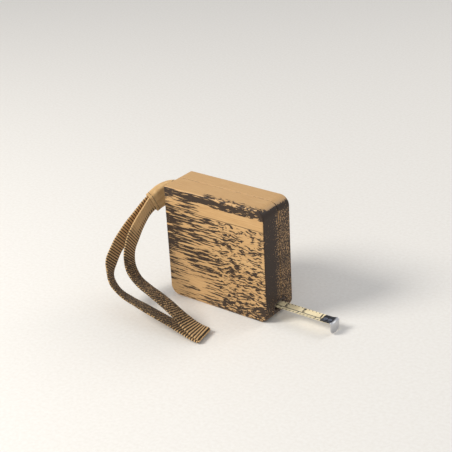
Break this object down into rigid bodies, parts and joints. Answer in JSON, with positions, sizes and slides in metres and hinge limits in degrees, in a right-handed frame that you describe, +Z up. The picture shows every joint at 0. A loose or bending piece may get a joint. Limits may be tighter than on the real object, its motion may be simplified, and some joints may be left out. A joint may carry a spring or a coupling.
{
  "type": "pocket tape measure",
  "caption": "Square bamboo-cased pocket tape measure with a narrow curved steel blade, an end hook, a rear release button and a webbing wrist strap.",
  "frame": {"origin": "centre of the case's flat base, midway between its front and rear faces", "axes": "+X out of the blade's mouth, +Y from the front face to the rear face, +Z up from the base"},
  "size_m": [0.1108, 0.058, 0.06],
  "materials": {
    "bamboo": "oiled caramel bamboo, satin",
    "steel": "plain bright steel",
    "spring_steel": "dark spring steel",
    "blade": "cream lacquered steel with black marks",
    "plastic": "moulded black plastic",
    "rubber": "black rubber",
    "webbing": "ribbed cotton webbing",
    "sleeve": "plain cotton tape"
  },
  "bodies": {
    "case": {"front_case_shell": "bamboo", "rear_case_shell": "bamboo", "case_screw_1": "steel", "case_screw_2": "steel", "case_screw_3": "steel", "case_screw_4": "steel", "case_dowel_1": "bamboo", "case_dowel_2": "bamboo", "front_liner_screw_1": "steel", "front_liner_screw_2": "steel", "front_liner_screw_3": "steel", "rear_liner_screw_1": "steel", "rear_liner_screw_2": "steel", "rear_liner_screw_3": "steel", "front_liner": "plastic", "rear_liner": "plastic", "spindle_post": "steel", "thrust_washer": "steel", "mouth_guide": "plastic", "brake_pivot_pin": "steel", "button_bezel": "plastic", "strap_anchor_pin": "steel", "strap_sleeve": "sleeve", "strap_webbing": "webbing"},
    "drum": {"drum_hub": "plastic", "drum_cover": "plastic", "power_spring": "spring_steel", "blade_coil": "blade"},
    "blade": {"blade_strip": "blade", "hook_rivet_1": "steel", "hook_rivet_2": "steel"},
    "hook": {"end_hook": "steel"},
    "brake": {"brake_lever": "steel", "brake_pad": "rubber", "brake_spring": "spring_steel"},
    "button": {"release_button": "plastic"}
  },
  "joints": [
    {"name": "blade_slide", "type": "slide", "parent": "case", "child": "blade", "axis": [1, 0, 0], "range_m": [-0.031, 0.018]},
    {"name": "drum_spin", "type": "hinge", "parent": "case", "child": "drum", "pos_m": [0, 0, 0.02795], "axis": [0, -1, 0], "range_deg": [-84, 49]},
    {"name": "hook_play", "type": "slide", "parent": "blade", "child": "hook", "axis": [1, 0, 0], "range_m": [0, 0.0005]},
    {"name": "button_press", "type": "slide", "parent": "case", "child": "button", "axis": [0, -1, 0], "range_m": [0, 0.0008], "stiffness_N_per_m": 400, "springref_m": -0.001},
    {"name": "brake_lift", "type": "hinge", "parent": "case", "child": "brake", "pos_m": [0, 0.00615, 0.03995], "axis": [-1, 0, 0], "range_deg": [0, 4]}
  ],
  "couplings": [
    {"joint": "drum_spin", "follows": "blade_slide", "rad_per_m": 46.512},
    {"joint": "brake_lift", "follows": "button_press", "rad_per_m": 83.333}
  ]
}
